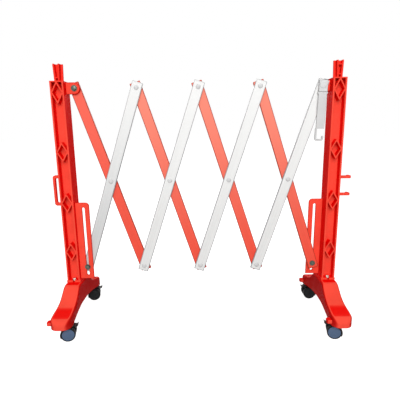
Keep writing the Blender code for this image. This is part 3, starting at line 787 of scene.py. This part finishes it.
# Posts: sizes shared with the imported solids
post_width = 0.050
post_depth = 0.060
post_flange = 0.0063
post_web = 0.006
post_bottom = 0.167
top_plate = 0.0045
base_plate = 0.0085
base_flare = 0.0025
base_flare_height = 0.0107
diamond_heights = (0.8992, 0.6850, 0.4905, 0.2940)
diamond_half_height = 0.0372
top_diamond_half_height = 0.0408
diamond_rib = 0.0048
diamond_bite = 0.0033
rib_proud = 0.0005
barrier_height = 1.000
spigot_base_width = 0.033
spigot_top_width = 0.038
spigot_depth = 0.038
spigot_web = 0.006
spigot_rib = 0.0055
spigot_rib_top_offset = 0.0095
spigot_rib_base_offset = 0.0060
spigot_low_bridge = 0.012
spigot_high_bridge = 0.045
spigot_bridge_height = 0.004
fixing_offset = 0.021
fixing_notch = 0.0072
loop_reach = 0.031
loop_bottom = 0.477
loop_top = 0.596
loop_bar = 0.0095
loop_arm = 0.0115
loop_thickness = 0.014
loop_corner = 0.010
hook_reach = 0.046
hook_heights = (0.5777, 0.5110)
hook_height = 0.0112
hook_arm = 0.010
hook_front = 0.012
hook_tip_width = 0.011
hook_tip_length = 0.026
hook_corner = 0.004
post_edge = 0.0012
plate_edge = 0.0010
rib_edge = 0.0008
loop_edge = 0.0022


def diamond(centre_z, half_height, inset):
    """A diamond across the post's recess, drawn in by the inset."""
    half_width = post_width / 2 - post_flange + diamond_bite
    lean = atan2(half_width, half_height)
    across = half_width - inset / cos(lean)
    up = half_height - inset / sin(lean)
    return [(across, centre_z), (0, centre_z + up), (-across, centre_z), (0, centre_z - up)]


def base_outline():
    """The bottom plate from above, with a round-ended notch for each fixing bolt."""
    half = post_width / 2 + base_flare
    deep = post_depth / 2 + flush_step
    notch = fixing_notch / 2
    notch_end = arc((0, fixing_offset), notch, 0, -pi)
    rear = [(half, deep), (notch, deep), *notch_end, (-notch, deep), (-half, deep)]
    return [(-x, -y) for x, y in rear] + rear


def plain_post():
    """The H-section post with its end plates, diamond ribs and spigot, about its own axis."""
    shape = bmesh.new()
    half = post_width / 2
    cap_middle = post_top - top_plate / 2
    base_middle = post_bottom + base_plate / 2
    tall = cap_middle - base_middle
    middle = (cap_middle + base_middle) / 2
    flare_top = post_bottom + base_flare_height
    flare_bottom = post_bottom + base_plate - plate_edge
    for direction in (-1, 1):
        core = direction * (half - post_flange / 2)
        flange = plate((post_flange, post_depth, tall), (core, 0, middle))
        add_shape(shape, rounded(flange, post_edge))
        flare = [
            (core, flare_top),
            (direction * half, flare_top),
            (direction * (half + base_flare), flare_bottom),
            (core, flare_bottom),
        ]
        add_shape(shape, rounded(prism(flare, post_depth - 2 * flush_step), rib_edge / 2))
    add_shape(shape, plate((post_width - post_flange, post_web, tall), (0, 0, middle)))
    cap = plate((post_width, post_depth + 2 * flush_step, top_plate), (0, 0, cap_middle))
    add_shape(shape, rounded(cap, plate_edge))
    base = prism(base_outline(), base_plate, "plan", base_middle)
    add_shape(shape, rounded(base, plate_edge))
    for centre_z in diamond_heights:
        topmost = centre_z == max(diamond_heights)
        half_height = top_diamond_half_height if topmost else diamond_half_height
        outer = diamond(centre_z, half_height, 0)
        inner = diamond(centre_z, half_height, diamond_rib)
        add_shape(shape, rounded(prism(outer, post_depth + 2 * rib_proud, hole=inner), rib_edge))
    root = post_top - top_plate
    wide = spigot_base_width / 2
    top = spigot_top_width / 2
    web = [(wide, root), (top, barrier_height), (-top, barrier_height), (-wide, root)]
    add_shape(shape, rounded(prism(web, spigot_web), rib_edge))
    half_rib = spigot_rib / 2
    for direction in (-1, 1):
        low_x = direction * spigot_rib_base_offset
        high_x = direction * spigot_rib_top_offset
        rib = [
            (low_x + half_rib, root),
            (high_x + half_rib, barrier_height - flush_step),
            (high_x - half_rib, barrier_height - flush_step),
            (low_x - half_rib, root),
        ]
        add_shape(shape, rounded(prism(rib, spigot_depth), rib_edge))
    reach = spigot_depth - 2 * rib_proud
    low_size = (2 * spigot_rib_base_offset, reach, spigot_bridge_height)
    low_bridge = plate(low_size, (0, 0, post_top + spigot_low_bridge))
    high_size = (2 * spigot_rib_top_offset, reach / 2, spigot_bridge_height)
    high_bridge = plate(high_size, (0, reach / 4, post_top + spigot_high_bridge))
    for bridge in (low_bridge, high_bridge):
        add_shape(shape, rounded(bridge, rib_edge))
    return shape


def loop_shape():
    """The C-shaped loop on the left post's outer face."""
    root = post_flange / 2 - post_width / 2
    tip = -post_width / 2 - loop_reach
    inner = loop_corner / 2
    side = tip + loop_bar
    low = loop_bottom + loop_arm
    high = loop_top - loop_arm
    outer_high = round_corner((tip, loop_top), loop_corner, pi / 2)
    outer_low = round_corner((tip, loop_bottom), loop_corner, pi)
    inner_low = arc((side + inner, low + inner), inner, 3 * pi / 2, pi)
    inner_high = arc((side + inner, high - inner), inner, pi, pi / 2)
    edge = [(root, loop_top), *outer_high, *outer_low, (root, loop_bottom), (root, low)]
    edge += [*inner_low, *inner_high, (root, high)]
    return rounded(prism(edge, loop_thickness), loop_edge, segments=3)


def hook_shape(height):
    """One level hook on the right post's outer face; its tip turns back behind the barrier."""
    root = post_width / 2 - post_flange / 2
    tip = post_width / 2 + hook_reach
    front = -hook_front
    back = front + hook_arm
    end = front + hook_tip_length
    nose = round_corner((tip, front), hook_corner, -pi / 2)
    heel = round_corner((tip, end), hook_corner, 0)
    inner_tip = tip - hook_tip_width
    edge = [(root, front), *nose, *heel, (inner_tip, end), (inner_tip, back), (root, back)]
    return rounded(prism(edge, hook_height, "plan", height), loop_edge, segments=3)


def post(side):
    """One post's visible moulding: the same plain post twice, with the loop or the hooks."""
    shape = plain_post()
    if side == "left":
        add_shape(shape, loop_shape())
    else:
        shape.transform(Matrix.Rotation(pi, 4, "Z"))
        for height in hook_heights:
            add_shape(shape, hook_shape(height))
    shape.transform(Matrix.Translation((middle_of(f"{side}_front_foot_bolt").x, 0, 0)))
    even_shading(make_piece(f"{side}_post_moulding", shape, "moulding", f"{side}_post"))


# Feet
foot_length = 0.410
foot_hub_width = 0.062
foot_toe_width = 0.075
foot_hub_half_length = 0.045
foot_underside = 0.0605
hub_shoulder = 0.012
hub_shoulder_drop = 0.005
slope_shares = ((0.16, 0.28), (0.30, 0.51), (0.47, 0.71), (0.70, 0.87))
toe_length = 0.047
toe_top = 0.1035
toe_corner = 0.030
nose_length = 0.024
nose_top = 0.098
nose_shares = ((0.38, 0.10), (0.74, 0.32), (0.95, 0.62))
nose_lip_height = 0.009
nose_steps = 4
arch_margin = 0.037
arch_height = 0.0845
foot_shoulder = 0.0090
lug_reach = 0.015
lug_length = 0.021
lug_inset = 0.030
lug_top = 0.081
lug_bottom = 0.067
lug_round = 0.006
lug_edge = 0.0020
stem_boss_radius = 0.0115
stem_boss_height = 0.015
caster_inset = 0.046

# Slats, brackets and latch
cell_count = 4
cell_width = 0.2264
lattice_drop = 0.6890
slat_lean = atan2(cell_width, lattice_drop)
slat_end_reach = 0.021
slat_width = 0.040
slat_thickness = 0.009
slat_edge = 0.0020
slat_rim = 0.0038
lattice_face = 0.0095
half_layer_gap = 0.0005
seat_gap = 0.0003
slot_plate_front = 0.0160
bracket_height = 0.042
bracket_reach = 0.0312
bracket_edge = 0.0018
bracket_rim = 0.0030
slot_plate_edge = 0.0008
slot_plate_rim = 0.0016
latch_width = 0.031
latch_head_width = 0.032
latch_head_top = 0.0175
latch_head_drop = 0.0245
latch_head_corner = 0.003
latch_head_proud = 0.0010
latch_shoulder_width = 0.0365
latch_shoulder_height = 0.006
latch_hook_width = 0.0355
latch_thickness = 0.005
latch_length = 0.2000
latch_hook_height = 0.0447
latch_rest_swing = radians(1.6)
latch_hook_bar = 0.0070
latch_tip_height = 0.016
latch_hook_reach = 0.0145
latch_edge = 0.0011
latch_rim = 0.0018
latch_boss_radius = 0.0135
latch_boss_height = 0.0030
latch_boss_shares = ((0, 1), (0.55, 0.97), (0.80, 0.84), (0.93, 0.55), (1, 0), (0, 0))
hood_edge = 0.0008
pedal_edge = 0.0005


def edged(shape, rim, width, segments=2):
    """Round the outer edges, and mark them and the faces' borders with the rim value."""
    value = shape.verts.layers.float.new("rim")
    faces = [face for face in shape.faces if abs(face.normal.y) > cos(sharp_angle)]
    bmesh.ops.inset_region(shape, faces=faces, thickness=rim, use_boundary=True, use_even_offset=True)
    inside = {vert for face in faces for vert in face.verts}
    rounded(shape, width, segments)
    for vert in shape.verts:
        vert[value] = 0.0 if vert in inside else 1.0
    return shape


def combined(shape, others, operation):
    """Join other shapes to a shape, or cut them out of it."""
    things = [put_in_scene("part", mesh_of(part)) for part in (shape, *others)]
    for other in things[1:]:
        step = things[0].modifiers.new("step", "BOOLEAN")
        step.operation = operation
        step.solver = "EXACT"
        step.object = other
    bpy.context.view_layer.update()
    result = bmesh.new()
    result.from_object(things[0], bpy.context.evaluated_depsgraph_get())
    for thing in things:
        mesh = thing.data
        bpy.data.objects.remove(thing)
        bpy.data.meshes.remove(mesh)
    return result


def smooth_through(points, steps):
    """Points on a smooth curve that passes through every given point."""
    padded = [points[0], *points, points[-1]]
    curve = []
    for before, first, second, after in zip(padded, padded[1:], padded[2:], padded[3:]):
        for step in range(steps):
            share = step / steps
            weights = (
                share * ((2 - share) * share - 1) / 2,
                (share * share * (3 * share - 5) + 2) / 2,
                share * ((4 - 3 * share) * share + 1) / 2,
                (share - 1) * share * share / 2,
            )
            near = zip(weights, (before, first, second, after))
            parts = [(weight * point[0], weight * point[1]) for weight, point in near]
            curve.append((sum(part[0] for part in parts), sum(part[1] for part in parts)))
    return [*curve, points[-1]]


def foot_ridge():
    """Half of the foot's top from the side: a level seat, a hollow slope and a round nose."""
    end = foot_length / 2
    seat = post_bottom - seat_gap
    slope_start = foot_hub_half_length + hub_shoulder
    slope_top = seat - hub_shoulder_drop
    toe_start = end - toe_length
    slope = [(slope_start, slope_top)]
    for run, drop in slope_shares:
        place = slope_start + run * (toe_start - slope_start)
        slope.append((place, slope_top - drop * (slope_top - toe_top)))
    slope += [(toe_start, toe_top), (end - nose_length, nose_top)]
    lip = foot_underside + nose_lip_height
    for out, down in nose_shares:
        slope.append((end - nose_length * (1 - out), nose_top - down * (nose_top - lip)))
    slope.append((end, lip))
    return [(0, seat), (foot_hub_half_length, seat), *smooth_through(slope, nose_steps)]


def foot_half_width(y):
    """Half of the foot's width at a distance from its middle."""
    hub = foot_hub_width / 2
    toe = foot_toe_width / 2
    toe_start = foot_length / 2 - toe_length
    corner = y - (foot_length / 2 - toe_corner)
    if corner > 0:
        return toe - toe_corner + max(0.0, toe_corner**2 - corner**2) ** 0.5
    spread = (y - foot_hub_half_length) / (toe_start - foot_hub_half_length)
    return hub + (toe - hub) * min(1.0, max(0.0, spread))


def foot_ring(y, top):
    """The foot's outline across at one place: upright sides, round shoulders and a flat underside."""
    side = foot_half_width(abs(y))
    arch_start = foot_length / 2 - arch_margin
    bottom = max(foot_underside, arch_height - (arch_height - foot_underside) * (y / arch_start) ** 2)
    middle = (top + bottom) / 2
    corner = min(foot_shoulder, side / 2, (top - bottom) / 2)
    right = round_corner((side, top), corner, 0)
    left = round_corner((-side, top), corner, pi / 2)
    ring = [(side, bottom), (side, middle), *right, *left, (-side, middle), (-side, bottom)]
    return [(x, y, z) for x, z in ring]


def foot_lug():
    """A side lug from above, round at its outer corners."""
    root = -foot_toe_width / 2 + lug_round
    tip = -foot_toe_width / 2 - lug_reach
    half = lug_length / 2
    near = round_corner((tip, -half), lug_round, pi)
    far = round_corner((tip, half), lug_round, pi / 2)
    outline = [(root, half), *far, *near, (root, -half)]
    shape = prism(outline, lug_top - lug_bottom, "plan", (lug_top + lug_bottom) / 2)
    return rounded(shape, lug_edge)


def rod(radius, bottom, top, y):
    """An upright cylinder on the foot's middle line."""
    return lathe([(0, top), (radius, top), (radius, bottom), (0, bottom)], (0, y, 0), "Z")


def foot(side):
    """The arched foot with its side lugs, stem bosses and bores."""
    node = f"{side}_foot"
    ridge = foot_ridge()
    rings = [foot_ring(-y, top) for y, top in reversed(ridge[1:])] + [foot_ring(y, top) for y, top in ridge]
    shape = bmesh.new()
    loops = [[shape.verts.new(point) for point in ring] for ring in rings]
    for near, far in zip(loops, loops[1:]):
        for index in range(len(near)):
            shape.faces.new((near[index - 1], near[index], far[index], far[index - 1]))
    shape.faces.new(loops[0])
    shape.faces.new(loops[-1])
    bmesh.ops.recalc_face_normals(shape, faces=shape.faces)
    stem_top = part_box(f"{side}_front_caster_stem")[1].z + seat_gap
    bolt_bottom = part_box(f"{side}_front_foot_bolt")[0].z - seat_gap
    extras = []
    bores = []
    for direction in (-1, 1):
        lug = foot_lug()
        lug.transform(Matrix.Translation((0, direction * (foot_length / 2 - lug_inset), 0)))
        stem_y = direction * (foot_length / 2 - caster_inset)
        extras += [lug, rod(stem_boss_radius, foot_underside, foot_underside + stem_boss_height, stem_y)]
        bores.append(rod(stem_radius + seat_gap, foot_underside - lug_edge, stem_top, stem_y))
        bores.append(rod(fixing_radius + seat_gap, bolt_bottom, post_bottom, direction * fixing_offset))
    shape = combined(combined(shape, extras, "UNION"), bores, "DIFFERENCE")
    shape.transform(Matrix.Translation((middle_of(f"{side}_front_foot_bolt").x, 0, 0)))
    even_shading(make_piece(f"{node}_moulding", shape, "moulding", node))


def slat(node, look, lean):
    """A slat about its own middle, so that its finish runs along it."""
    side = slat_width / 2
    end = (cell_width**2 + lattice_drop**2) ** 0.5 / 2 + slat_end_reach
    outline = [(side, end), (-side, end), (-side, -end), (side, -end)]
    shape = edged(prism(outline, slat_thickness), slat_rim, slat_edge, segments=3)
    place = Matrix.Translation(middle_of(node)) @ Matrix.Rotation(lean, 4, "Y")
    even_shading(make_piece(f"{node}_slat", shape, look, node, place=place))


def top_bracket(side):
    """The strap that carries the lattice's fixed top end, round about the pivot."""
    node = f"{side}_top_bracket"
    low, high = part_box(node)
    inward = 1 if side == "left" else -1
    root = low.x if inward > 0 else high.x
    centre_z = (low.z + high.z) / 2
    pivot = root + inward * (bracket_reach - seat_gap)
    half = bracket_height / 2
    nose = arc((pivot, centre_z), half, -inward * pi / 2, inward * pi / 2, 2 * arc_steps)
    outline = [(root, centre_z - inward * half), *nose, (root, centre_z + inward * half)]
    shape = prism(outline, high.y - low.y, depth=(high.y + low.y) / 2)
    strap = edged(shape, bracket_rim, bracket_edge)
    even_shading(make_piece(f"{node}_strap", strap, "moulding", node))


def slot_plate(side):
    """The plate with the long slot that the lattice's lower end slides in."""
    node = f"{side}_slot_plate"
    shape = edged(node_shape(node), slot_plate_rim, slot_plate_edge)
    even_shading(make_piece(f"{node}_moulding", shape, "moulding", node))


def latch():
    """The hanging strap latch: a head plate over the pivot, a strap, and a hook at its lower end."""
    half = latch_width / 2
    head = latch_head_width / 2
    ear = latch_shoulder_width / 2
    side = latch_hook_width / 2
    shoulder = -latch_head_drop
    ear_low = shoulder - latch_shoulder_height
    neck = ear_low - (ear - half)
    bar = latch_hook_bar
    foot = -latch_length
    knee = latch_hook_height - latch_length
    reach = latch_hook_reach
    tip = foot + latch_tip_height
    heel = round_corner((-side, foot), bar, pi)
    toe = round_corner((reach, foot), bar, -pi / 2)
    left = [(-ear, shoulder), (-ear, ear_low), (-half, neck)]
    left += [(-half, knee + bar / 2), (-side, knee - bar / 2)]
    hook = [(reach, tip), (reach - bar / 2, tip + bar / 2), (reach - bar, tip), (reach - bar, foot + bar)]
    right = [(bar - side, foot + bar), (bar - side, knee), (half, knee), (half, neck), (ear, ear_low)]
    strap = [*left, *heel, *toe, *hook, *right, (ear, shoulder)]
    head_right = round_corner((head, latch_head_top), latch_head_corner, 0)
    head_left = round_corner((-head, latch_head_top), latch_head_corner, pi / 2)
    head_outline = [(-head, shoulder), (head, shoulder), *head_right, *head_left]
    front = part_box("latch")[0].y + latch_boss_height
    strap_depth = front + latch_thickness / 2
    thick = latch_thickness + latch_head_proud
    shape = edged(prism(strap, latch_thickness, depth=strap_depth), latch_rim, latch_edge)
    head_plate = prism(head_outline, thick, depth=front - latch_head_proud + thick / 2)
    add_shape(shape, edged(head_plate, latch_rim, latch_edge))
    profile = [(latch_boss_radius * out, latch_boss_height * up) for out, up in latch_boss_shares]
    boss = lathe(profile)
    boss.transform(Matrix.Translation((0, front, 0)) @ Matrix.Rotation(pi, 4, "Z"))
    add_shape(shape, boss)
    pivot = middle_of("right_top_bolt")
    swing = Matrix.Rotation(latch_rest_swing, 4, "Y")
    place = Matrix.Translation((pivot.x, 0, pivot.z)) @ swing
    even_shading(make_piece("latch_strap", shape, "latch", "latch", place=place))


for side in ("left", "right"):
    post(side)
    top_bracket(side)
    foot(side)
    slot_plate(side)
    # Rear casters take the disc look drawn in painted shade.
    for end, disc_look in (("front", "disc"), ("rear", "shaded_disc")):
        caster = f"{side}_{end}"
        softened(f"{caster}_caster_hood", "black", hood_edge)
        softened(f"{caster}_brake_pedal", "black", pedal_edge)
        stem(f"{caster}_caster_stem")
        axle(caster)
        foot_bolt(f"{caster}_foot_bolt")
        wheel(caster, "outer", disc_look)
        wheel(caster, "inner", disc_look)
for number in range(1, cell_count + 1):
    # The first red slat gets less painted light towards its upper end.
    slat(f"red_bar_{number}", "less_lit_red_slat" if number == 1 else "red_slat", -slat_lean)
    # The first white slat is drawn darker below its upper end: painted shade.
    slat(f"white_bar_{number}", "shaded_white_slat" if number == 1 else "white_slat", slat_lean)
    rivet(f"centre_rivet_{number}")
    if number < cell_count:
        rivet(f"top_rivet_{number}")
        rivet(f"bottom_rivet_{number}")
latch()
end_bolt("left_top_bolt", -1, 2 * lattice_face + 2 * seat_gap)
end_bolt("right_top_bolt", 1, 2 * lattice_face + 2 * seat_gap)
slot_grip = slot_plate_front - half_layer_gap + 2 * seat_gap
end_bolt("left_slot_bolt", -1, slot_grip)
end_bolt("right_slot_bolt", 1, slot_grip)


def stage():
    """A white floor and backdrop under soft studio light, seen as the photograph sees the barrier."""
    floor_half = 30.0
    floor_lift = 0.93
    floor_dark = (0.49, 0.49, 0.49)
    floor_light = (0.51, 0.51, 0.51)
    aim_place = (0.0, 0.0, 0.45)
    white_light = (1.0, 1.0, 1.0)
    shape = bmesh.new()
    bmesh.ops.create_grid(shape, x_segments=1, y_segments=1, size=floor_half)
    floor = put_in_scene("floor", mesh_of(shape, "floor"))
    look = Shader("floor", roughness=0.9, gloss=0.1)
    tone = look.patches(per_metre=3.0, within=soft_range, detail=4.0)
    look.finish(look.mix(tone, floor_dark, floor_light))
    glow = look.times(look.seen_or_mirrored(), floor_lift)
    lift = look.feed(look.new("Emission"), "Emission", {"Strength": glow})
    both = look.feed(look.new("AddShader"), "Shader", {0: look.lit, 1: lift})
    look.link(both, look.tree.nodes["Material Output"].inputs["Surface"])
    floor.data.materials.append(look.material)

    world = bpy.data.worlds.new("studio")
    bpy.context.scene.world = world
    sky = Graph(world)
    own = sky.tree.nodes["Background"]
    fill = sky.feed(own, "Background", {"Color": white_light, "Strength": world_fill})
    backdrop = sky.feed(sky.new("Background"), "Background", {"Color": white_light, "Strength": 1.0})
    sides = {"Fac": sky.seen_or_mirrored(), 1: fill, 2: backdrop}
    choice = sky.feed(sky.new("MixShader"), "Shader", sides)
    sky.link(choice, sky.tree.nodes["World Output"].inputs["Surface"])

    for name, place, width, height, power in lamps:
        light = bpy.data.lights.new(name, "AREA")
        light.shape = "RECTANGLE"
        light.size = width
        light.size_y = height
        light.energy = power
        lamp = put_in_scene(name, light)
        lamp.location = place
        aim = Vector(aim_place) - Vector(place)
        lamp.rotation_euler = aim.to_track_quat("-Z", "Y").to_euler()

    sensor = 36.0
    view = bpy.data.cameras.new("photo_view")
    view.sensor_width = sensor
    view.lens = sensor * focal_pixels / frame_pixels
    view.clip_start = 0.01
    view.clip_end = 100.0
    camera = put_in_scene("photo_view", view)
    turn = Matrix.Rotation(-camera_yaw, 4, "Z")
    tilt = Matrix.Rotation(pi / 2 - camera_pitch, 4, "X")
    roll = Matrix.Rotation(camera_roll, 4, "Z")
    camera.matrix_world = Matrix.Translation(camera_place) @ turn @ tilt @ roll
    bpy.context.scene.camera = camera
    bpy.context.scene.view_settings.view_transform = "Standard"


stage()
